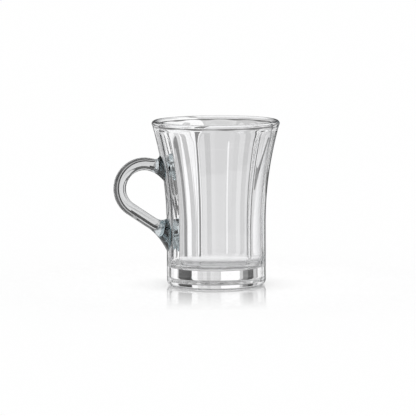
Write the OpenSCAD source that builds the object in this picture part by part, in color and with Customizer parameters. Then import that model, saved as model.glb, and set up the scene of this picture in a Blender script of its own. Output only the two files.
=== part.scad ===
// Small thick-walled coffee glass with a loop handle welded to its side.
// The outside is smooth, the inside is pressed into tall flat panels.
// The origin is on the axis of the glass, on the surface that it stands on.
// +Z is up and the handle points towards -X.

/* [Body] */
// Height from the table to the top of the lip
height = 90; // [80:1:110]
// Diameter across the lip
rim_d = 70; // [64:1:84]
// Diameter of the straight lower wall
base_d = 54.2; // [48:0.2:60]
// Height at which the wall begins to flare outward
flare_start = 32.5; // [24:0.5:40]
// Radius of the rounded heel
heel_r = 3; // [2:0.5:5]
// Thickness of the rounded lip
lip_t = 3.2; // [2.4:0.2:4]

/* [Inside] */
// Number of flat panels around the inside
panels = 12; // [8:2:16]
// Wall thickness at the middle of a panel, in the straight lower wall
wall_low = 3.7; // [3.2:0.1:5]
// Wall thickness at the middle of a panel, carried up to the lip
wall_high = 3.6; // [3.2:0.1:5]
// Thickness of the solid floor
floor_t = 9.5; // [7:0.5:13]
// Radius of the curve from a panel into the floor
toe_r = 6; // [3:0.5:8]
// Depth of the smooth round band between the lip and the panels
band_h = 3; // [2.6:0.2:6]
// Diameter of the shallow round dish in the middle of the floor
dish_d = 23; // [16:1:26]
// Depth of that dish
dish_h = 0.5; // [0.3:0.1:1]

/* [Foot] */
// Width of the flat ring that touches the table
foot_w = 4; // [3:0.5:7]
// Depth of the shallow hollow under the floor
hollow_h = 1.2; // [0.8:0.1:2]

/* [Handle] */
// Thickness of the round handle rod
rod_d = 6.9; // [6:0.1:9]
// Radius of the loop, to the middle of the rod
loop_r = 13.4; // [11:0.1:16]
// Distance from the lower wall to the outermost point of the handle
reach = 29.5; // [27:0.1:34]
// Height of the middle of the loop
loop_z = 53.6; // [48:0.1:58]
// Fall of the upper run towards the wall, in degrees
upper_fall = 12; // [5:1:25]
// Fall of the lower run towards the wall, in degrees
lower_fall = 34; // [25:1:40]

/* [Welds] */
// How far the upper pad spreads up the wall, above the rod
upper_spread_top = 2.8; // [2:0.1:4]
// How far the upper pad spreads down the wall, under the rod
upper_spread_under = 4.4; // [3:0.1:5]
// How far the lower pad spreads up the wall, above the rod
lower_spread_top = 3.8; // [3:0.1:5]
// How far the lower pad spreads down the wall, under the rod
lower_spread_under = 6; // [5:0.1:7]
// Length of the upper flare on top of the rod
upper_flare_top = 3.2; // [2:0.1:4]
// Length of the upper flare under the rod
upper_flare_under = 8.4; // [5:0.1:9]
// Length of the lower flare on top of the rod
lower_flare_top = 8; // [5:0.5:10]
// Length of the lower flare under the rod
lower_flare_under = 12.5; // [9:0.5:16]
// Fullness of the flares: 0 is hollow, towards 0.5 they are nearly straight
flare_fill = 0.45; // [0:0.05:0.5]

/* [Hidden] */
$fn = 128;
glass_tint = [0.83, 0.87, 0.88];
handle_tint = [0.76, 0.81, 0.83];

base_r = base_d / 2;
rim_r = rim_d / 2;
lip_r = lip_t / 2;
rod_r = rod_d / 2;

// Lip: its widest height, and the height at which the wall ends inside its bead
mouth_r = rim_r - lip_t;
mouth_z = height - lip_r;
wall_top = mouth_z - lip_r / 3;

// Radius of an arc that leaves the upright at flare_start and spreads by the given amount at the lip
function flare_arc(spread) = (pow(mouth_z - flare_start, 2) + spread * spread) / (2 * spread);

// Radius, at height z, of a wall that flares from r0 along an arc
function flared(r0, arc, z) =
    z <= flare_start ? r0 : r0 + arc - sqrt(arc * arc - pow(z - flare_start, 2));

outer_arc = flare_arc(rim_r - base_r);
function wall_r(z) = flared(base_r, outer_arc, z);

// Panels, measured from the axis to the middle of each flat
panel_low = base_r - wall_low;
panel_high = rim_r - wall_high;
panel_arc = flare_arc(panel_high - panel_low);
function panel_at(z) = flared(panel_low, panel_arc, z);
panel_step = 360 / panels;

// Round band, a cone from the end of the panels to the lip's inner edge
band_z = height - band_h;
band_slope = (mouth_r - panel_at(band_z)) / (mouth_z - band_z);
// Margin by which cutting shapes run past what they cut
past = 1;
// How far the straight part of the inside runs up into the flared part
flare_overlap = 6;
// Setback of the panel corners inside the mouth, where they run out into the round band
corner_setback = 0.3;

// Radius of a ball whose cap has the given radius and depth
function ball_through(r, depth) = (r * r + depth * depth) / (2 * depth);

// Hollow under the floor
hollow_r = base_r - heel_r - foot_w;
hollow_ball = ball_through(hollow_r, hollow_h);

// Dish in the floor
dish_r = dish_d / 2;
dish_ball = ball_through(dish_r, dish_h);

// Handle: loop centre, and the arc angles at which the straight runs leave the loop
loop_x = -(base_r + reach - rod_r - loop_r);
upper_angle = 90 - upper_fall;
lower_angle = 270 - lower_fall;
rod_sides = 32;
loop_steps = 32;
weld_steps = 9;
// The flares run a little past the wall and end just inside it
weld_past = 1.1;
weld_sink = 0.4;
// Straight rod that always stays between the loop and a flare
min_straight = 0.3;

// Half section of the outer form, solid to the axis
module outer_profile() {
    square([base_r - heel_r, heel_r]);
    translate([base_r - heel_r, heel_r]) circle(heel_r);
    translate([0, heel_r]) square([base_r, flare_start - heel_r]);
    difference() {
        translate([0, flare_start]) square([rim_r, wall_top - flare_start]);
        translate([base_r + outer_arc, flare_start]) circle(outer_arc, $fn = 256);
    }
    translate([0, mouth_z - lip_r]) square([rim_r - lip_r, lip_t]);
    translate([rim_r - lip_r, mouth_z]) circle(lip_r);
}

module outer_form() {
    rotate_extrude() outer_profile();
}

// Section between two opposite panels below the flare, with a toe at each side
module straight_pair_profile() {
    translate([toe_r - panel_low, floor_t]) square([2 * (panel_low - toe_r), toe_r]);
    for (side = [-1, 1]) {
        translate([side * (panel_low - toe_r), floor_t + toe_r]) circle(toe_r);
    }
    translate([-panel_low, floor_t + toe_r])
        square([2 * panel_low, flare_start + flare_overlap - floor_t - toe_r]);
}

// Section between two opposite panels where they flare
module flared_pair_profile() {
    difference() {
        translate([-panel_high, flare_start])
            square([2 * panel_high, mouth_z - corner_setback - flare_start]);
        for (side = [-1, 1]) {
            translate([side * (panel_low + panel_arc), flare_start]) circle(panel_arc, $fn = 256);
        }
    }
}

// Space inside all the panels, from the section between one opposite pair of them.
// One panel edge lies in the plane of the handle.
module between_panels() {
    intersection_for (pair = [0 : panels / 2 - 1]) {
        rotate([0, 0, (pair + 0.5) * panel_step]) rotate([90, 0, 0])
            linear_extrude(height = 2 * rim_d, center = true) children();
    }
}

// Inside of the glass below the band
module panelled_inside() {
    between_panels() straight_pair_profile();
    intersection() {
        between_panels() flared_pair_profile();
        cylinder(h = height, r = mouth_r - corner_setback);
    }
}

// Round band and inner half of the lip
module mouth() {
    rotate_extrude() difference() {
        polygon([
            [0, band_z - past],
            [panel_at(band_z) - past * band_slope, band_z - past],
            [mouth_r, mouth_z],
            [rim_r - lip_r, mouth_z],
            [rim_r - lip_r, height + past],
            [0, height + past]
        ]);
        translate([rim_r - lip_r, mouth_z]) circle(lip_r);
    }
}

module foot_hollow() {
    translate([0, 0, hollow_h - hollow_ball]) rotate([90, 0, 0]) sphere(hollow_ball, $fn = 256);
}

module floor_dish() {
    intersection() {
        translate([0, 0, floor_t - dish_h + dish_ball]) rotate([90, 0, 0]) sphere(dish_ball, $fn = 256);
        cylinder(h = floor_t + past, r = dish_r + past);
    }
}

// Handle surface: rings of points round the rod, each point at an angle psi from the loop's outer side
function radial(angle, psi) = [cos(angle) * cos(psi), sin(psi), sin(angle) * cos(psi)];
function loop_point(angle) = [loop_x + loop_r * cos(angle), 0, loop_z + loop_r * sin(angle)];
function rod_point(angle, psi) = loop_point(angle) + rod_r * radial(angle, psi);

// Point p moved straight towards or away from the axis until it is off outside the wall
function onto_wall(p, off) =
    let (k = (wall_r(p.z) + off) / norm([p.x, p.y]))
    [p.x * k, p.y * k, p.z];

// Outward normal of the wall at point p
function wall_normal(p) =
    let (lean = p.z <= flare_start ? 0 : asin((p.z - flare_start) / outer_arc), rho = norm([p.x, p.y]))
    [p.x / rho * cos(lean), p.y / rho * cos(lean), -sin(lean)];

// Distance along direction d from point q to the wall, halving the span each time
function wall_hit(q, d, near, far, tries = 24) =
    let (mid = (near + far) / 2, p = q + mid * d)
    tries == 0 ? mid
    : norm([p.x, p.y]) > wall_r(p.z) ? wall_hit(q, d, mid, far, tries - 1)
    : wall_hit(q, d, near, mid, tries - 1);

// One line of a weld flare, from the rod at u = 0 to the wall at u = 1 and just inside it beyond
function weld_point(angle, fall, psi, flare, spread, u) =
    let (
        along = [cos(fall), 0, -sin(fall)],
        out = radial(angle, psi),
        q = rod_point(angle, psi),
        run = wall_hit(q, along, 0, -q.x / along.x),
        foot = q + run * along,
        length = min(flare, run - min_straight),
        start = foot - length * along,
        corner = foot - flare_fill * length * along,
        facing = wall_normal(foot),
        slide = out - (out * facing) * facing,
        finish = onto_wall(foot + spread * slide / norm(slide), 0),
        p = pow(1 - u, 2) * start + 2 * u * (1 - u) * corner + u * u * finish
    )
    u > 1 ? onto_wall(p, -weld_sink) : p;

// Value at psi, between the outer side and the inner side of the loop
function between_sides(outer_side, inner_side, psi) =
    inner_side + (outer_side - inner_side) * (1 + cos(psi)) / 2;

psis = [for (i = [0 : rod_sides - 1]) i * 360 / rod_sides];
function upper_ring(u) = [
    for (psi = psis)
        let (
            flare = between_sides(upper_flare_top, upper_flare_under, psi),
            spread = between_sides(upper_spread_top, upper_spread_under, psi)
        )
        weld_point(upper_angle, upper_fall, psi, flare, spread, u)
];
function lower_ring(u) = [
    for (psi = psis)
        let (
            flare = between_sides(lower_flare_under, lower_flare_top, psi),
            spread = between_sides(lower_spread_under, lower_spread_top, psi)
        )
        weld_point(lower_angle, lower_fall, psi, flare, spread, u)
];
function loop_ring(t) =
    [for (psi = psis) rod_point(upper_angle + t * (lower_angle - upper_angle), psi)];

rod_rings = concat(
    [for (i = [weld_steps : -1 : 0]) upper_ring(weld_past * i / weld_steps)],
    [for (i = [0 : loop_steps]) loop_ring(i / loop_steps)],
    [for (i = [0 : weld_steps]) lower_ring(weld_past * i / weld_steps)]
);

// Mean of a ring's points
function middle(ring) = [for (i = [0 : len(ring) - 1]) 1] * ring / len(ring);

// Closed skin through a list of rings, with a fan of triangles at each end
module skin(rings) {
    sides = len(rings[0]);
    last = len(rings) - 1;
    first_tip = len(rings) * sides;
    points = concat([for (ring = rings) each ring], [middle(rings[0]), middle(rings[last])]);
    walls = [
        for (j = [0 : last - 1], i = [0 : sides - 1])
            let (a = j * sides + i, b = j * sides + (i + 1) % sides)
            each [[a, b, a + sides], [b, b + sides, a + sides]]
    ];
    first_cap = [for (i = [0 : sides - 1]) [first_tip, (i + 1) % sides, i]];
    last_cap = [for (i = [0 : sides - 1]) [first_tip + 1, last * sides + i, last * sides + (i + 1) % sides]];
    polyhedron(points, concat(walls, first_cap, last_cap));
}

module body() {
    color(glass_tint) difference() {
        outer_form();
        panelled_inside();
        mouth();
        floor_dish();
        foot_hollow();
    }
}

module handle() {
    color(handle_tint) difference() {
        skin(rod_rings);
        outer_form();
    }
}

body();
handle();
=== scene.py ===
"""Looks for a small handled coffee glass: clear pressed glass on a white studio floor."""

import math

import bpy
import numpy as np
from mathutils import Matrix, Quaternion, Vector


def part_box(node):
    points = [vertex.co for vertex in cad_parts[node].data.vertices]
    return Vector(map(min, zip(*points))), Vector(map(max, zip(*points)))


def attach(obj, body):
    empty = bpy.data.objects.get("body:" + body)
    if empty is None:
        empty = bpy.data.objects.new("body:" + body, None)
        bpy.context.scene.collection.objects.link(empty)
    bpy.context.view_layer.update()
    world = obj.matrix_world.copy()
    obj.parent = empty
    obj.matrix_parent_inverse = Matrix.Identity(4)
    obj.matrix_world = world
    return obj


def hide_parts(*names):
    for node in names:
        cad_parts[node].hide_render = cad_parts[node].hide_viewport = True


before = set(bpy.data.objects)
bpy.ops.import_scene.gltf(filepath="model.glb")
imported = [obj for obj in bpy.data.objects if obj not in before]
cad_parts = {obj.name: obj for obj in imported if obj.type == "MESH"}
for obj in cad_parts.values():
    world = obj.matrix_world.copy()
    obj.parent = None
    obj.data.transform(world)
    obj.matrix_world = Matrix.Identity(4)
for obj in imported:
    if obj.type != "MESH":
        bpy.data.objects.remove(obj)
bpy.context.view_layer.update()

MM = 0.001

# Body sizes, in metres: overall from the frame, the rest as the solids have them
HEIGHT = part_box("body")[1].z
RIM_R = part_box("body")[1].x
BASE_R = 27.1 * MM
FLARE_START = 32.5 * MM
HEEL_R = 3 * MM
LIP_R = 1.6 * MM
WALL_LOW = 3.7 * MM
WALL_HIGH = 3.6 * MM
FLOOR_T = 9.5 * MM
TOE_R = 6 * MM
BAND_H = 3 * MM
FOOT_W = 4 * MM
HOLLOW_H = 1.2 * MM
DISH_R = 11.5 * MM
DISH_H = 0.5 * MM
PANELS = 12

# Soft edges that pressing and fire polishing leave. The panels' corners get rounder from ARRIS_FROM upwards.
ARRIS_ROUND = 6 * MM
ARRIS_ROUND_TOP = 15 * MM
ARRIS_FROM = 79 * MM
BAND_BLEND = 2.0 * MM
DISH_EDGE_SPAN = 0.3 * MM
DISH_EDGE_ROUND = 0.03 * MM

# Notches in the face that the glass stands on. They fade out towards both edges of the foot ring.
NOTCHES = 60
NOTCH_DEPTH = 0.3 * MM
NOTCH_SETBACK = 0.4

# Groove between the lip's bead and the outer wall, as degrees on the bead below level. One strip bridges it.
GROOVE_SEARCH = (10, 80)
GROOVE_TRIES = 2000
GROOVE_BRIDGE = 4

# Where the bead ends inside, in degrees, and how far below its middle the inside surface starts
LIP_END = 176
LIP_GAP = 0.05 * MM

# Handle sizes
ROD_R = 3.45 * MM
LOOP_R = 13.4 * MM
LOOP_Z = 53.6 * MM
LOOP_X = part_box("handle")[0].x + ROD_R + LOOP_R
UPPER_FALL = math.radians(12)
LOWER_FALL = math.radians(34)
MIN_STRAIGHT = 0.3 * MM
FLARE_FILL = 0.45

# Flares of the welds, on top of the rod and under it
UPPER_SPREAD_TOP = 2.8 * MM
UPPER_SPREAD_UNDER = 4.4 * MM
LOWER_SPREAD_TOP = 3.8 * MM
LOWER_SPREAD_UNDER = 6 * MM
UPPER_FLARE_TOP = 3.2 * MM
UPPER_FLARE_UNDER = 8.4 * MM
LOWER_FLARE_TOP = 8 * MM
LOWER_FLARE_UNDER = 12.5 * MM

# Mesh density of the body: points round it, and rings along its section. Shares are of a radius or a width.
SIDES = 504
SIDE_CROWDING = 0.6
HOLLOW_STEPS = 12
FOOT_SHARES = (0.06, 0.15, 0.28, 0.4, 0.5, 0.6, 0.72, 0.85, 0.96)
HEEL_STEPS = 10
WALL_ROW = 1.0 * MM
LIP_STEPS = 30
BAND_RINGS = 24
PANEL_RINGS = 32
STRAIGHT_RINGS = 9
TOE_STEPS = 14
FLOOR_SHARES = (0.985, 0.93, 0.82, 0.74)
DISH_EDGE_RINGS = 7
DISH_SHARES = np.linspace(0.85, 0.05, 9)

# Mesh density of the welds and of the handle
OUTLINE_POINTS = 64
PAD_HALF_COLUMNS = 31
PAD_ROWS = 26
PAD_RINGS = 6
JOINT_RINGS = 5
FLARE_STEPS = 28
LOOP_STEPS = 64
# Strips at each end of the handle that get the welds' glass, which is painted dark bluish grey: painted
# shade
WELD_STRIPS = range(1, 15)
HALVINGS = 40

# Derived
MOUTH_R = RIM_R - 2 * LIP_R
MOUTH_Z = HEIGHT - LIP_R
BAND_Z = HEIGHT - BAND_H
HOLLOW_R = BASE_R - HEEL_R - FOOT_W
HOLLOW_BALL = (HOLLOW_R**2 + HOLLOW_H**2) / (2 * HOLLOW_H)
DISH_BALL = (DISH_R**2 + DISH_H**2) / (2 * DISH_H)
PANEL_LOW = BASE_R - WALL_LOW
PANEL_HIGH = RIM_R - WALL_HIGH
UPPER_ANGLE = math.pi / 2 - UPPER_FALL
LOWER_ANGLE = 3 * math.pi / 2 - LOWER_FALL


def flare_arc(spread):
    """Radius of the arc that leaves the upright at FLARE_START and spreads by this much at the lip."""
    return ((MOUTH_Z - FLARE_START) ** 2 + spread**2) / (2 * spread)


OUTER_ARC = flare_arc(RIM_R - BASE_R)
PANEL_ARC = flare_arc(PANEL_HIGH - PANEL_LOW)


def flared(low, arc, z):
    """Radius at height z of a surface that is upright at first and then follows an arc outwards."""
    rise = np.maximum(np.asarray(z, float) - FLARE_START, 0.0)
    return low + arc - np.sqrt(arc**2 - rise**2)


def wall_radius(z):
    """Radius of the outer wall at height z."""
    return flared(BASE_R, OUTER_ARC, z)


def panel_apothem(z):
    """Distance from the axis to the middle of a panel at height z."""
    return flared(PANEL_LOW, PANEL_ARC, z)


# Angles round the axis, crowded towards the panels' edges, where the surface turns fastest
EVEN = np.arange(SIDES) * 2 * math.pi / SIDES
THETA = EVEN - SIDE_CROWDING / PANELS * np.sin(PANELS * EVEN)


def ring(radius, z):
    """Ring of points at height z. Radius and height are one number or one per angle."""
    r = np.broadcast_to(radius, THETA.shape)
    return np.column_stack([r * np.cos(THETA), r * np.sin(THETA), np.broadcast_to(z, THETA.shape)])


def smooth_step(value, start, end):
    """Share from 0 at start to 1 at end, level at both."""
    t = min(max((value - start) / (end - start), 0.0), 1.0)
    return t * t * (3 - 2 * t)


def panel_radius(apothem, corner=ARRIS_ROUND):
    """Radius, at each angle, of a regular polygon with rounded corners."""
    half_step = math.pi / PANELS
    off_corner = np.abs((THETA + half_step) % (2 * half_step) - half_step)
    flat = apothem / np.cos(half_step - off_corner)
    centre = (apothem - corner) / math.cos(half_step)
    across = centre * np.sin(off_corner)
    reach = np.sqrt(np.maximum(corner**2 - across**2, 0.0))
    rounded = centre * np.cos(off_corner) + reach
    on_round = rounded * np.sin(off_corner) <= corner * math.sin(half_step)
    return np.where(on_round & (across < corner), rounded, flat)


def soft_max(a, b, blend):
    """The larger of two values, rounded off where they cross."""
    near = np.maximum(blend - np.abs(a - b), 0.0) / blend
    return np.maximum(a, b) + near**2 * blend / 4


def arc_points(centre_r, centre_z, radius, start, end, steps):
    """Places along an arc of the section, each a radius and a height. Angles are in degrees."""
    angles = np.radians(np.linspace(start, end, steps + 1))
    return [(centre_r + radius * math.cos(a), centre_z + radius * math.sin(a)) for a in angles]


def underside_rings():
    """Hollow under the floor, foot ring and heel."""
    rings = []
    for r in np.linspace(0, HOLLOW_R, HOLLOW_STEPS + 1)[1:]:
        rings.append(ring(r, HOLLOW_H - HOLLOW_BALL + math.sqrt(HOLLOW_BALL**2 - r**2)))
    foot_edge = BASE_R - HEEL_R
    waves = (1 - np.cos(NOTCHES * THETA)) / 2
    for share in FOOT_SHARES:
        depth = NOTCH_DEPTH * max(math.sin(math.pi * share) - NOTCH_SETBACK, 0.0)
        rings.append(ring(HOLLOW_R + share * (foot_edge - HOLLOW_R), depth * waves))
    for r, z in arc_points(foot_edge, HEEL_R, HEEL_R, -90, 0, HEEL_STEPS):
        rings.append(ring(r, z))
    return rings


def bead_groove():
    """Angle on the lip's bead, in degrees below level, at which the outer wall meets it."""
    angles = np.radians(np.linspace(*GROOVE_SEARCH, GROOVE_TRIES))
    r = RIM_R - LIP_R + LIP_R * np.cos(angles)
    gap = r - wall_radius(MOUTH_Z - LIP_R * np.sin(angles))
    return float(np.degrees(angles[np.argmax(gap < 0)]))


def lip_rings():
    """Bead of the lip, from the outer wall over the top to the inside."""
    start = -bead_groove() + GROOVE_BRIDGE
    points = arc_points(RIM_R - LIP_R, MOUTH_Z, LIP_R, start, LIP_END, LIP_STEPS)
    return [ring(r, z) for r, z in points]


def inside_rings():
    """Round band, panels, toe and floor, from the lip down."""
    rings = []
    band = np.linspace(MOUTH_Z - LIP_GAP, BAND_Z - BAND_BLEND, BAND_RINGS)
    panels = np.linspace(BAND_Z - BAND_BLEND, FLARE_START, PANEL_RINGS)[1:]
    straight = np.linspace(FLARE_START, FLOOR_T + TOE_R, STRAIGHT_RINGS)[1:]
    for z in np.concatenate([band, panels, straight]):
        corner = ARRIS_ROUND + smooth_step(z, ARRIS_FROM, BAND_Z) * (ARRIS_ROUND_TOP - ARRIS_ROUND)
        panel = panel_radius(panel_apothem(z), corner)
        roundness = smooth_step(z, BAND_Z - BAND_BLEND, MOUTH_Z)
        rings.append(ring(panel + roundness * (MOUTH_R - panel), z))
    toe_edge = PANEL_LOW - TOE_R
    for turn in np.radians(np.linspace(0, 90, TOE_STEPS + 1)[1:]):
        apothem = toe_edge + TOE_R * math.cos(turn)
        rings.append(ring(panel_radius(apothem), FLOOR_T + TOE_R * (1 - math.sin(turn))))
    for share in FLOOR_SHARES:
        rings.append(ring(share * panel_radius(toe_edge), FLOOR_T))
    edge = np.linspace(1, -1, DISH_EDGE_RINGS) * DISH_EDGE_SPAN
    for r in np.concatenate([DISH_R + edge, DISH_SHARES * DISH_R]):
        sunk = FLOOR_T - DISH_H + DISH_BALL - math.sqrt(DISH_BALL**2 - r**2)
        rings.append(ring(r, -float(soft_max(-sunk, -FLOOR_T, DISH_EDGE_ROUND))))
    return rings


# The handle's surface is made of rings of points, at angles psi round the rod from the loop's outer side
def radial(angle, psi):
    """Directions out of the rod where it stands at this angle of the loop."""
    return np.column_stack([math.cos(angle) * np.cos(psi), np.sin(psi), math.sin(angle) * np.cos(psi)])


def rod_ring(angle, psi):
    """Ring round the rod at this angle of the loop."""
    middle = [LOOP_X + LOOP_R * math.cos(angle), 0.0, LOOP_Z + LOOP_R * math.sin(angle)]
    return np.array(middle) + ROD_R * radial(angle, psi)


def on_wall(theta, z):
    """Points of the outer wall at these angles and heights."""
    r = wall_radius(z)
    return np.column_stack([r * np.cos(theta), r * np.sin(theta), z])


def wall_place(points):
    """Angle round the axis and height of each point."""
    return np.arctan2(points[:, 1], points[:, 0]) % (2 * math.pi), points[:, 2]


def wall_normal(points):
    """Directions out of the outer wall at these points."""
    lean = np.arcsin(np.maximum(points[:, 2] - FLARE_START, 0.0) / OUTER_ARC)
    rho = np.hypot(points[:, 0], points[:, 1])
    return np.column_stack(
        [points[:, 0] / rho * np.cos(lean), points[:, 1] / rho * np.cos(lean), -np.sin(lean)]
    )


def run_to_wall(start, along):
    """Distance from each start point to the wall, by halving the span."""
    near = np.zeros(len(start))
    far = -start[:, 0] / along[0]
    for _ in range(HALVINGS):
        middle = (near + far) / 2
        p = start + middle[:, None] * along
        outside = np.hypot(p[:, 0], p[:, 1]) > wall_radius(p[:, 2])
        near = np.where(outside, middle, near)
        far = np.where(outside, far, middle)
    return (near + far) / 2


class Weld:
    """One end of the handle: where its rod leaves the loop and how it flares on to the wall.

    Spreads and flares are pairs, for the loop's outer side and for its inner side.
    """

    def __init__(self, angle, fall, spreads, flares):
        self.angle = angle
        self.along = np.array([math.cos(fall), 0.0, -math.sin(fall)])
        self.spreads = spreads
        self.flares = flares

    def ring(self, psi, u):
        """Ring at u, from the rod at 0 to the wall at 1."""
        outer_share = (1 + np.cos(psi)) / 2
        spread, flare = (
            inner + (outer - inner) * outer_share for outer, inner in (self.spreads, self.flares)
        )
        out = radial(self.angle, psi)
        q = rod_ring(self.angle, psi)
        run = run_to_wall(q, self.along)
        foot = q + run[:, None] * self.along
        length = np.minimum(flare, run - MIN_STRAIGHT)[:, None]
        start = foot - length * self.along
        corner = foot - FLARE_FILL * length * self.along
        facing = wall_normal(foot)
        slide = out - np.sum(out * facing, axis=1)[:, None] * facing
        slide /= np.linalg.norm(slide, axis=1)[:, None]
        finish = on_wall(*wall_place(foot + spread[:, None] * slide))
        return (1 - u) ** 2 * start + 2 * u * (1 - u) * corner + u**2 * finish


UPPER_WELD = Weld(
    UPPER_ANGLE,
    UPPER_FALL,
    (UPPER_SPREAD_TOP, UPPER_SPREAD_UNDER),
    (UPPER_FLARE_TOP, UPPER_FLARE_UNDER),
)
LOWER_WELD = Weld(
    LOWER_ANGLE,
    LOWER_FALL,
    (LOWER_SPREAD_UNDER, LOWER_SPREAD_TOP),
    (LOWER_FLARE_UNDER, LOWER_FLARE_TOP),
)


def new_mesh_object(name, points, faces, materials, face_materials):
    """Smooth-shaded object in the scene, with the number of a material for each face."""
    mesh = bpy.data.meshes.new(name)
    mesh.from_pydata([tuple(p) for p in points], [], faces)
    for material in materials:
        mesh.materials.append(material)
    mesh.polygons.foreach_set("material_index", face_materials)
    mesh.polygons.foreach_set("use_smooth", [True] * len(faces))
    piece = bpy.data.objects.new(name, mesh)
    bpy.context.scene.collection.objects.link(piece)
    return piece


def grid_normals(grid):
    """Normals of a closed grid of rings, from the differences along it and round it."""
    ahead = np.diff(grid, axis=0)
    length = np.linalg.norm(ahead, axis=2, keepdims=True)
    before, after = length[:-1], length[1:]
    inner = (before / after * ahead[1:] + after / before * ahead[:-1]) / (before + after)
    along = np.concatenate([ahead[:1], inner, ahead[-1:]])
    step = np.roll(grid, -1, axis=1) - grid
    width = np.linalg.norm(step, axis=2, keepdims=True)
    step_back, width_back = np.roll(step, 1, axis=1), np.roll(width, 1, axis=1)
    across = width_back / width * step + width / width_back * step_back
    normals = np.cross(across, along)
    return normals / np.linalg.norm(normals, axis=2, keepdims=True)


class Pad:
    """Where a weld meets the body: a window in the wall's grid.

    Rings fill it from its edge to the weld's outline, and from there to the middle of the joint.
    """

    def __init__(self, weld, wall_z, first_ring, upward):
        outline = weld.ring(np.linspace(0, 2 * math.pi, OUTLINE_POINTS, endpoint=False), 1.0)
        self.middle_z = (outline[:, 2].min() + outline[:, 2].max()) / 2
        row = int(np.argmin(np.abs(wall_z - self.middle_z))) - PAD_ROWS // 2
        self.rows = first_ring + row, first_ring + row + PAD_ROWS
        back = SIDES // 2
        self.columns = back - PAD_HALF_COLUMNS, back + PAD_HALF_COLUMNS
        self.perimeter = self._perimeter(upward)
        self.window = (THETA[self.perimeter[:, 1]], wall_z[self.perimeter[:, 0] - first_ring])
        across = np.sin(self.window[0]) / math.sin(THETA[self.columns[0]])
        rise = (self.window[1] - self.middle_z) / (PAD_ROWS * WALL_ROW / 2)
        self.psi = np.unwrap(np.arctan2(across, rise if upward else -rise))
        self.outline = weld.ring(self.psi, 1.0)

    def _perimeter(self, upward):
        """Grid places round the window, from the middle of the loop's outer side towards +Y."""
        low, high = self.rows
        left, right = self.columns
        back = SIDES // 2
        start, end = (high, low) if upward else (low, high)
        step = -1 if upward else 1
        places = [(start, c) for c in range(back, left, -1)]
        places += [(r, left) for r in range(start, end, step)]
        places += [(end, c) for c in range(left, right)]
        places += [(r, right) for r in range(end, start, -step)]
        places += [(start, c) for c in range(right, back, -1)]
        return np.array(places)

    def rings_to_outline(self):
        """Rings of wall points between the window and the weld's outline, the outline last."""
        theta, z = wall_place(self.outline)
        for share in np.linspace(0, 1, PAD_RINGS + 1)[1:]:
            yield on_wall(
                self.window[0] + share * (theta - self.window[0]),
                self.window[1] + share * (z - self.window[1]),
            )

    def rings_inside(self):
        """Rings of wall points inside the weld's outline, up to the one round the middle."""
        theta, z = wall_place(self.outline)
        for share in np.linspace(1, 0, JOINT_RINGS + 1)[1:-1]:
            yield on_wall(
                math.pi + share * (theta - math.pi),
                self.middle_z + share * (z - self.middle_z),
            )

    def middle(self):
        """The wall's point in the middle of the joint."""
        return on_wall(np.array([math.pi]), np.array([self.middle_z]))[0]


def strip(first, second, flip):
    """Quads between two closed rings of point numbers."""
    count = len(first)
    quads = []
    for i in range(count):
        k = (i + 1) % count
        quad = (first[i], first[k], second[k], second[i])
        quads.append(quad[::-1] if flip else quad)
    return quads


def fan(rim, tip, flip):
    """Triangles between a closed ring of point numbers and one point."""
    count = len(rim)
    faces = [(rim[i], rim[(i + 1) % count], tip) for i in range(count)]
    return [f[::-1] for f in faces] if flip else faces


# Material slots of the two meshes
CLEAR_SLOT, FUSED_SLOT, WELD_SLOT = range(3)


def make_body(glass, fused):
    """The cup, one closed mesh, with its part of each joint marked as fused. Also returns the two pads."""
    under = underside_rings()
    groove_z = MOUTH_Z - LIP_R * math.sin(math.radians(bead_groove() + GROOVE_BRIDGE))
    rows = int((groove_z - HEEL_R) / WALL_ROW)
    wall_z = np.linspace(HEEL_R, groove_z, rows + 1)[1:]
    first_ring = len(under)
    wall = [ring(wall_radius(z), z) for z in wall_z]
    grid = np.array(under + wall + lip_rings() + inside_rings())
    ring_count = len(grid)

    pads = [Pad(UPPER_WELD, wall_z, first_ring, True), Pad(LOWER_WELD, wall_z, first_ring, False)]
    open_cells = np.zeros((ring_count, SIDES), bool)
    dropped = np.zeros((ring_count, SIDES), bool)
    for pad in pads:
        (low, high), (left, right) = pad.rows, pad.columns
        open_cells[low:high, left:right] = True
        dropped[low + 1 : high, left + 1 : right] = True

    number = np.full((ring_count, SIDES), -1)
    number[~dropped] = np.arange(np.count_nonzero(~dropped))
    points = list(grid[~dropped])
    normals = list(grid_normals(grid)[~dropped])
    faces = []
    for j in range(ring_count - 1):
        for i in range(SIDES):
            if not open_cells[j, i]:
                k = (i + 1) % SIDES
                faces.append((number[j, i], number[j, k], number[j + 1, k], number[j + 1, i]))

    def add(new_points, new_normals):
        first = len(points)
        points.extend(new_points)
        normals.extend(new_normals)
        return np.arange(first, len(points))

    under_tip = add([(0.0, 0.0, HOLLOW_H)], [(0.0, 0.0, -1.0)])[0]
    floor_tip = add([(0.0, 0.0, FLOOR_T - DISH_H)], [(0.0, 0.0, 1.0)])[0]
    faces += fan(number[0], under_tip, True)
    faces += fan(number[-1], floor_tip, False)

    fused_faces = []
    for pad, flip in zip(pads, (False, True)):
        outer = number[pad.perimeter[:, 0], pad.perimeter[:, 1]]
        for place in pad.rings_to_outline():
            inner = add(place, wall_normal(place))
            faces += strip(outer, inner, flip)
            outer = inner
        for place in pad.rings_inside():
            inner = add(place, wall_normal(place))
            fused_faces += strip(outer, inner, flip)
            outer = inner
        tip = add([pad.middle()], wall_normal(np.array([pad.middle()])))[0]
        fused_faces += fan(outer, tip, flip)

    slots = [CLEAR_SLOT] * len(faces) + [FUSED_SLOT] * len(fused_faces)
    piece = new_mesh_object("body_glass", points, faces + fused_faces, [glass, fused], slots)
    piece.data.normals_split_custom_set_from_vertices([tuple(n) for n in normals])
    return piece, pads


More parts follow.
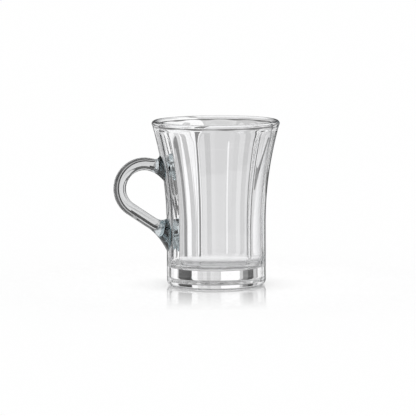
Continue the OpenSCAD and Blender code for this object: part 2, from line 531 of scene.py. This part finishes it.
def make_handle(glass, fused, weld, pads):
    """The rod with its two welds, one closed mesh that meets the body's on the fused faces."""
    upper, lower = pads
    rings = [UPPER_WELD.ring(upper.psi, u) for u in np.linspace(1, 0, FLARE_STEPS + 1)]
    for t in np.linspace(0, 1, LOOP_STEPS + 1):
        psi = (1 - t) * upper.psi + t * lower.psi
        rings.append(rod_ring(UPPER_ANGLE + t * (LOWER_ANGLE - UPPER_ANGLE), psi))
    rings += [LOWER_WELD.ring(lower.psi, u) for u in np.linspace(0, 1, FLARE_STEPS + 1)]

    points = []
    faces = []
    fused_faces = []

    def add(new_points):
        first = len(points)
        points.extend(new_points)
        return np.arange(first, len(points))

    numbers = [add(place) for place in rings]
    slots = []
    for i, (first, second) in enumerate(zip(numbers, numbers[1:])):
        faces += strip(first, second, False)
        from_end = min(i, len(numbers) - 2 - i)
        slots += [WELD_SLOT if from_end in WELD_STRIPS else CLEAR_SLOT] * len(first)
    for pad, outline, flip in ((upper, numbers[0], True), (lower, numbers[-1], False)):
        outer = outline
        for place in pad.rings_inside():
            inner = add(place)
            fused_faces += strip(outer, inner, flip)
            outer = inner
        fused_faces += fan(outer, add([pad.middle()])[0], flip)
    slots += [FUSED_SLOT] * len(fused_faces)
    materials = [glass, fused, weld]
    piece = new_mesh_object("handle_glass", points, faces + fused_faces, materials, slots)
    rims = set()
    for outline in (numbers[0], numbers[-1]):
        rims.update(frozenset((int(a), int(b))) for a, b in zip(outline, np.roll(outline, -1)))
    sharp = [frozenset(edge.vertices) in rims for edge in piece.data.edges]
    piece.data.attributes.new("sharp_edge", "BOOLEAN", "EDGE").data.foreach_set("value", sharp)
    return piece


# Glass: its colour seen face on, the painted shade that darkens it seen edge on, and where between the two
# the change starts and ends
GLASS_IOR = 1.52
BODY_TINT = (0.985, 0.985, 0.99)
BODY_EDGE_SHADE = (0.2, 0.21, 0.22)
# Painted shade: the handle's glass is the body's glass made darker grey, face on as well as edge on
HANDLE_SHADED_TINT = (0.64, 0.645, 0.65)
HANDLE_EDGE_SHADE = (0.1, 0.105, 0.11)
EDGE_SHADE_FROM = 0.4
EDGE_SHADE_FULL = 0.95
SEAM_TINT = (0.92, 0.95, 0.96)
# Painted shade: the welds' glass is made dark bluish grey face on, and darker still edge on
WELD_SHADE = (0.2, 0.25, 0.27)
WELD_EDGE_SHADE = (0.1, 0.12, 0.13)

# Waves of the glass's surface: how many to a metre, and how deep
BODY_WAVES = (60.0, 0.02 * MM)
HANDLE_WAVES = (90.0, 0.002 * MM)


def ranged(nodes, links, value, start, end, least, most):
    """Value that goes from least to most as another goes from start to end."""
    node = nodes.new("ShaderNodeMapRange")
    for socket, number in (("From Min", start), ("From Max", end), ("To Min", least), ("To Max", most)):
        node.inputs[socket].default_value = number
    links.new(value, node.inputs["Value"])
    return node.outputs["Result"]


def combined(nodes, links, operation, first, second):
    """Two values, each a socket or a number, put together by a math operation."""
    node = nodes.new("ShaderNodeMath")
    node.operation = operation
    for socket, value in zip(node.inputs, (first, second)):
        if isinstance(value, float):
            socket.default_value = value
        else:
            links.new(value, socket)
    return node.outputs["Value"]


def mixed(nodes, links, share, first, second):
    """Two shaders mixed, by the share of the second."""
    node = nodes.new("ShaderNodeMixShader")
    links.new(share, node.inputs["Fac"])
    links.new(first, node.inputs[1])
    links.new(second, node.inputs[2])
    return node.outputs["Shader"]


def bare_material(name):
    """New material with only its output node, and its nodes and links."""
    material = bpy.data.materials.new(name)
    material.use_nodes = True
    nodes, links = material.node_tree.nodes, material.node_tree.links
    nodes.remove(nodes["Principled BSDF"])
    return material, nodes, links


def glass_material(name, tint, edge_shade, waves):
    """Clear glass with painted shade that darkens it where it is seen edge on, whose surface waves slightly,
    as pressing leaves it.
    """
    waves_to_metre, wave_depth = waves
    material = bpy.data.materials.new(name)
    material.use_nodes = True
    nodes, links = material.node_tree.nodes, material.node_tree.links
    # The colour face on is the glass's own tint for the body, and a darker grey of painted shade for the
    # handle and the welds
    shader = nodes["Principled BSDF"]
    # Painted shade: where the surface is seen edge on, the glass's colour turns to the dark edge colour, for
    # dark outlines
    slant = nodes.new("ShaderNodeLayerWeight")
    ramp = nodes.new("ShaderNodeValToRGB")
    stops = ((EDGE_SHADE_FROM, tint), (EDGE_SHADE_FULL, edge_shade))
    for stop, (position, colour) in zip(ramp.color_ramp.elements, stops):
        stop.position = position
        stop.color = (*colour, 1.0)
    links.new(slant.outputs["Facing"], ramp.inputs["Fac"])
    links.new(ramp.outputs["Color"], shader.inputs["Base Color"])
    shader.inputs["Roughness"].default_value = 0.0
    shader.inputs["IOR"].default_value = GLASS_IOR
    shader.inputs["Transmission Weight"].default_value = 1.0
    place = nodes.new("ShaderNodeTexCoord")
    noise = nodes.new("ShaderNodeTexNoise")
    noise.inputs["Scale"].default_value = waves_to_metre
    noise.inputs["Detail"].default_value = 1.0
    bump = nodes.new("ShaderNodeBump")
    bump.inputs["Strength"].default_value = 1.0
    bump.inputs["Distance"].default_value = wave_depth
    links.new(place.outputs["Object"], noise.inputs["Vector"])
    links.new(noise.outputs["Fac"], bump.inputs["Height"])
    links.new(bump.outputs["Normal"], shader.inputs["Normal"])
    return material


def fused_material():
    """The weld's inner face, where two pieces of glass have run into one: clear but for a faint tint."""
    material, nodes, links = bare_material("fused_joint")
    clear = nodes.new("ShaderNodeBsdfTransparent")
    clear.inputs["Color"].default_value = (*SEAM_TINT, 1.0)
    links.new(clear.outputs["BSDF"], nodes["Material Output"].inputs["Surface"])
    return material


# Camera, in degrees and metres, with lens and sensor in millimetres. It aims at a point left of the axis.
CAMERA_AZIMUTH = -10.0
CAMERA_ELEVATION = 5.86
CAMERA_ROLL = -0.28
CAMERA_DISTANCE = 2.5
CAMERA_LENS = 396.4
SENSOR_WIDTH = 36.0
AIM_HEIGHT = 41.98 * MM
AIM_LEFT = 4.38 * MM

# Light and the paths that it takes through clear glass
WHITE = (1.0, 1.0, 1.0, 1.0)
WORLD_LEVEL = 1.08
MAX_BOUNCES = 32
GLOSSY_BOUNCES = 24

# White floor, just under the foot. Its glow keeps it white, but not near the foot, where its shadow shows.
FLOOR_HALF = 4.0
FLOOR_DROP = 0.02 * MM
FLOOR_PAINT = (0.92, 0.92, 0.92, 1.0)
FLOOR_GLOW = 0.55
GLOW_INSIDE = 16 * MM
GLOW_FOOT = 20 * MM
GLOW_EDGE = 32 * MM
GLOW_OUTSIDE = 50 * MM

# Gloss of the floor for the camera: more of it at a low angle, and none far from the glass
FLOOR_GLOSS = 0.5
GLOSS_ROUGHNESS = 0.06
GLOSS_NEAR = 40 * MM
GLOSS_FAR = 115 * MM
GLOSS_FROM = 0.6
GLOSS_FULL = 0.9
GLOSS_LEAST = 0.04

# Polish of the floor for what is seen through glass: a mirror at a low angle
FLOOR_POLISH = 0.96
POLISH_FROM = 0.55
POLISH_FULL = 0.83

# Distance and height of the cards round the glass, and the degrees that one flat facet of a card takes up
CARD_RADIUS = 0.25
CARD_TOP = 0.1
CARD_FACET = 2
CARD_FACETS_LEAST = 2
DISC_SIDES = 48

# Cards round the glass: degrees from straight behind it, positive to the right, and how bright each is
CARDS = (
    ("left_grey", -24, -17, 0.6),
    ("white_backdrop", -17, -3, 1.05),
    ("grey_stripe_1", -3, -1.5, 0.66),
    ("grey_stripe_2", -1.5, 2, 0.7),
    ("grey_stripe_3", 2, 4, 0.74),
    ("grey_stripe_4", 4, 6.5, 0.6),
    ("grey_stripe_5", 6.5, 9, 0.76),
    ("grey_stripe_6", 9, 11.3, 0.68),
    ("grey_stripe_7", 11.3, 13.3, 0.72),
    ("right_stripe", 13.3, 18.2, 1.0),
    ("right_flag", 18.2, 34, 0.03),
    ("right_grey", 34, 36, 0.5),
    ("right_white", 36, 52, 1.1),
    ("right_stop", 52, 60, 0.05),
    ("right_box", 60, 90, 0.95),
    ("left_flag", -42, -24, 0.03),
    ("left_white", -54, -42, 1.0),
    ("left_stop", -70, -54, 0.08),
    ("left_box", -90, -70, 0.95),
)

# Share of white that the cards in front of the glass, which mirror those behind it, are lifted by
FRONT_LIFT = 0.65

# Upright flat cards near the glass: left and right edge, distance behind the axis, top, brightness
FLAT_CARDS = (
    ("handle_white", -82 * MM, -58 * MM, 60 * MM, 85 * MM, 1.1),
    ("wall_white", -42 * MM, -29 * MM, 60 * MM, 76.5 * MM, 1.0),
    ("wall_shade", -27 * MM, -20.5 * MM, 60 * MM, 76.5 * MM, 0.55),
    ("wall_line", -14 * MM, -10 * MM, 60 * MM, 77.3 * MM, 0.2),
    ("right_line", 29.2 * MM, 30 * MM, 40 * MM, 77 * MM, 0.05),
)

# Cards close behind the handle, for rays that have crossed no more surfaces of glass than the rod has
CLOSE_GAP = 17 * MM
ROD_SURFACES = 2

# Discs in the loop, left of its middle: radius and brightness
DISC_STEP = 0.2 * MM
DISC_LEFT = 2.5 * MM
LOOP_DISCS = (
    ("loop_disc_1", 10.5 * MM, 0.02),
    ("loop_disc_2", 8.6 * MM, 0.6),
    ("loop_disc_3", 6.4 * MM, 0.12),
)

# Strips along the runs: the loop's angle and the slope there, length, near and far edge, brightness
RUN_STRIPS = (
    ("upper_line", UPPER_ANGLE, -UPPER_FALL, 14 * MM, -4.2 * MM, -1.4 * MM, 0.05),
    ("lower_line", LOWER_ANGLE, -LOWER_FALL, 24 * MM, 0.2 * MM, 4.4 * MM, 0.05),
    ("lower_white", LOWER_ANGLE, -LOWER_FALL, 24 * MM, 4.4 * MM, 6.4 * MM, 1.0),
    ("lower_grey", LOWER_ANGLE, -LOWER_FALL, 24 * MM, 6.4 * MM, 9 * MM, 0.3),
)

# Rings over the cards: bottom, top and brightness, and the grey ceiling that closes them
DARK_TOP = 0.22
CEILING_HEIGHT = 0.34
CEILING_LEVEL = 0.3
RINGS = (
    ("dark_ring", CARD_TOP, DARK_TOP, 0.15),
    ("light_ring", DARK_TOP, CEILING_HEIGHT, 1.0),
)


def camera_back():
    """Direction from the glass to the camera."""
    a, e = math.radians(CAMERA_AZIMUTH), math.radians(CAMERA_ELEVATION)
    return Vector((math.sin(a) * math.cos(e), -math.cos(a) * math.cos(e), math.sin(e)))


def make_camera():
    """Camera at the photograph's angle."""
    a = math.radians(CAMERA_AZIMUTH)
    back = camera_back()
    right = Vector((math.cos(a), math.sin(a), 0.0))
    data = bpy.data.cameras.new("camera")
    data.lens = CAMERA_LENS
    data.sensor_width = SENSOR_WIDTH
    camera = bpy.data.objects.new("camera", data)
    camera.location = Vector((0.0, 0.0, AIM_HEIGHT)) - AIM_LEFT * right + CAMERA_DISTANCE * back
    roll = Quaternion((0.0, 0.0, 1.0), math.radians(CAMERA_ROLL))
    camera.rotation_euler = (back.to_track_quat("Z", "Y") @ roll).to_euler()
    bpy.context.scene.collection.objects.link(camera)
    bpy.context.scene.camera = camera


def card_material(name, level, one_sided=False, through_rod=False):
    """Glow that only clear glass sees. To everything else the card is not there.

    A one-sided card is not there from behind either. A card seen through the rod is there only for rays that
    have crossed no more surfaces of glass than the rod has.
    """
    material, nodes, links = bare_material(name)
    clear = nodes.new("ShaderNodeBsdfTransparent").outputs["BSDF"]
    glow = nodes.new("ShaderNodeEmission")
    glow.inputs["Strength"].default_value = level
    path = nodes.new("ShaderNodeLightPath").outputs
    seen = path["Is Singular Ray"]
    if through_rod:
        few = combined(nodes, links, "LESS_THAN", path["Transmission Depth"], ROD_SURFACES + 0.5)
        seen = combined(nodes, links, "MULTIPLY", seen, few)
    if one_sided:
        behind = nodes.new("ShaderNodeNewGeometry").outputs["Backfacing"]
        seen = combined(nodes, links, "GREATER_THAN", seen, behind)
    shown = mixed(nodes, links, seen, clear, glow.outputs["Emission"])
    links.new(shown, nodes["Material Output"].inputs["Surface"])
    return material


def make_card(name, start, end, level, low=0.0, high=CARD_TOP):
    """Upright curved card round the glass."""
    forward = math.radians(90 + CAMERA_AZIMUTH)
    steps = max(CARD_FACETS_LEAST, round(abs(end - start) / CARD_FACET))
    points, faces = [], []
    for t in np.linspace(start, end, steps + 1):
        a = forward - math.radians(t)
        x, y = CARD_RADIUS * math.cos(a), CARD_RADIUS * math.sin(a)
        points += [(x, y, low), (x, y, high)]
    for i in range(steps):
        faces.append((2 * i, 2 * i + 2, 2 * i + 3, 2 * i + 1))
    material = card_material(name, level)
    hide_from_light(new_mesh_object(name, points, faces, [material], [0] * len(faces)))


def make_polygon_card(name, points, level, through_rod=False):
    """Flat card near the glass, with its front to the camera."""
    face = tuple(range(len(points)))
    material = card_material(name, level, True, through_rod)
    card = new_mesh_object(name, points, [face], [material], [0])
    if card.data.polygons[0].normal.dot(camera_back()) < 0:
        card.data.flip_normals()
    hide_from_light(card)


def make_flat_card(name, left, right, behind, high, level):
    """Upright flat card that faces the camera."""
    a = math.radians(CAMERA_AZIMUTH)
    across = Vector((math.cos(a), math.sin(a), 0.0))
    away = Vector((-math.sin(a), math.cos(a), 0.0))
    corners = ((left, 0.0), (right, 0.0), (right, high), (left, high))
    points = [across * x + away * behind + Vector((0.0, 0.0, z)) for x, z in corners]
    make_polygon_card(name, points, level)


def behind_handle(corners, gap):
    """Points straight behind corners in the handle's plane, as the camera sees them."""
    return [Vector((x, 0.0, z)) - gap * camera_back() for x, z in corners]


def circle(radius):
    """Points round a circle, as pairs."""
    turn = np.linspace(0, 2 * math.pi, DISC_SIDES, endpoint=False)
    return [(radius * math.cos(a), radius * math.sin(a)) for a in turn]


def make_loop_discs():
    """Discs inside the loop, each smaller than the one before and a little in front of it."""
    for i, (name, radius, level) in enumerate(LOOP_DISCS):
        corners = [(LOOP_X - DISC_LEFT + x, LOOP_Z + z) for x, z in circle(radius)]
        make_polygon_card(name, behind_handle(corners, CLOSE_GAP - i * DISC_STEP), level, True)


def make_run_strip(name, angle, rise, length, near, far, level):
    """Strip along a run of the handle, between two distances from its middle line towards the loop."""
    inward = np.array([-math.cos(angle), -math.sin(angle)])
    along = length * np.array([math.cos(rise), math.sin(rise)])
    start = np.array([LOOP_X, LOOP_Z]) - LOOP_R * inward
    corners = [start + near * inward, start + far * inward]
    corners += [corners[1] + along, corners[0] + along]
    make_polygon_card(name, behind_handle(corners, CLOSE_GAP), level, True)


def make_ceiling():
    """Grey disc over the glass, on top of the rings."""
    points = [(x, y, CEILING_HEIGHT) for x, y in circle(CARD_RADIUS)]
    material = card_material("ceiling", CEILING_LEVEL)
    hide_from_light(new_mesh_object("ceiling", points, [tuple(range(DISC_SIDES))], [material], [0]))


def hide_from_light(card):
    """Leaves the card to glass alone: the camera doesn't see it, and it casts no shadow."""
    card.visible_camera = False
    card.visible_diffuse = False
    card.visible_shadow = False


def make_cards():
    """Cards behind the glass and mirrored in front of it, near it, behind the handle and above."""
    for name, start, end, level in CARDS:
        make_card(name, start, end, level)
        make_card(name + "_front", 180 - start, 180 - end, FRONT_LIFT + (1 - FRONT_LIFT) * level)
    for card in FLAT_CARDS:
        make_flat_card(*card)
    make_loop_discs()
    for run in RUN_STRIPS:
        make_run_strip(*run)
    for name, low, high, level in RINGS:
        make_card(name, -180, 180, level, low, high)
    make_ceiling()


def glossy_shader(nodes, roughness):
    """White glossy shader."""
    node = nodes.new("ShaderNodeBsdfGlossy")
    node.inputs["Color"].default_value = WHITE
    node.inputs["Roughness"].default_value = roughness
    return node.outputs["BSDF"]


def floor_material():
    """White paint with a glow, glossy to the camera and polished to what is seen through glass."""
    material, nodes, links = bare_material("white_floor")
    paint = nodes.new("ShaderNodeBsdfDiffuse")
    paint.inputs["Color"].default_value = FLOOR_PAINT
    glow = nodes.new("ShaderNodeEmission").outputs["Emission"]
    gloss = glossy_shader(nodes, GLOSS_ROUGHNESS)
    polish = glossy_shader(nodes, 0.0)
    path = nodes.new("ShaderNodeLightPath").outputs
    facing = nodes.new("ShaderNodeLayerWeight").outputs["Facing"]
    place = nodes.new("ShaderNodeTexCoord")
    length = nodes.new("ShaderNodeVectorMath")
    length.operation = "LENGTH"
    links.new(place.outputs["Object"], length.inputs[0])
    distance = length.outputs["Value"]

    direct = combined(nodes, links, "MAXIMUM", path["Is Camera Ray"], path["Is Singular Ray"])
    inside = ranged(nodes, links, distance, GLOW_INSIDE, GLOW_FOOT, FLOOR_GLOW, 0.0)
    outside = ranged(nodes, links, distance, GLOW_EDGE, GLOW_OUTSIDE, 0.0, FLOOR_GLOW)
    off_foot = combined(nodes, links, "MAXIMUM", inside, outside)
    glow_share = combined(nodes, links, "MULTIPLY", direct, off_foot)
    gloss_by_slant = ranged(nodes, links, facing, GLOSS_FROM, GLOSS_FULL, GLOSS_LEAST, FLOOR_GLOSS)
    gloss_by_place = ranged(nodes, links, distance, GLOSS_NEAR, GLOSS_FAR, 1.0, 0.0)
    gloss_share = combined(nodes, links, "MULTIPLY", gloss_by_slant, gloss_by_place)
    polish_share = ranged(nodes, links, facing, POLISH_FROM, POLISH_FULL, 0.0, FLOOR_POLISH)

    lit = mixed(nodes, links, glow_share, paint.outputs["BSDF"], glow)
    to_camera = mixed(nodes, links, gloss_share, lit, gloss)
    to_glass = mixed(nodes, links, polish_share, lit, polish)
    shown = mixed(nodes, links, path["Is Singular Ray"], to_camera, to_glass)
    links.new(shown, nodes["Material Output"].inputs["Surface"])
    return material


def make_floor():
    """Large white floor."""
    h = FLOOR_HALF
    z = -FLOOR_DROP
    points = [(-h, -h, z), (h, -h, z), (h, h, z), (-h, h, z)]
    floor = new_mesh_object("floor", points, [(0, 1, 2, 3)], [floor_material()], [0])


def make_world():
    """Even white light from all round."""
    world = bpy.data.worlds.new("studio")
    world.use_nodes = True
    bpy.context.scene.world = world
    background = world.node_tree.nodes["Background"]
    background.inputs["Color"].default_value = WHITE
    background.inputs["Strength"].default_value = WORLD_LEVEL


def main():
    scene = bpy.context.scene
    scene.view_settings.view_transform = "Standard"
    scene.cycles.max_bounces = MAX_BOUNCES
    scene.cycles.transmission_bounces = MAX_BOUNCES
    scene.cycles.glossy_bounces = GLOSSY_BOUNCES
    scene.cycles.transparent_max_bounces = MAX_BOUNCES
    make_camera()
    make_world()
    make_floor()
    make_cards()

    fused = fused_material()
    body_glass = glass_material("body_glass", BODY_TINT, BODY_EDGE_SHADE, BODY_WAVES)
    # The handle gets a darker grey copy of the body's glass: painted shade
    handle_glass = glass_material("handle_glass", HANDLE_SHADED_TINT, HANDLE_EDGE_SHADE, HANDLE_WAVES)
    body, pads = make_body(body_glass, fused)
    # The welds get a copy of the glass painted dark bluish grey: painted shade
    weld_glass = glass_material("weld_glass", WELD_SHADE, WELD_EDGE_SHADE, HANDLE_WAVES)
    handle = make_handle(handle_glass, fused, weld_glass, pads)
    for piece, node, slot in ((body, "body", "body_glass"), (handle, "handle", "handle_glass")):
        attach(piece, "root")
        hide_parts(node)


main()
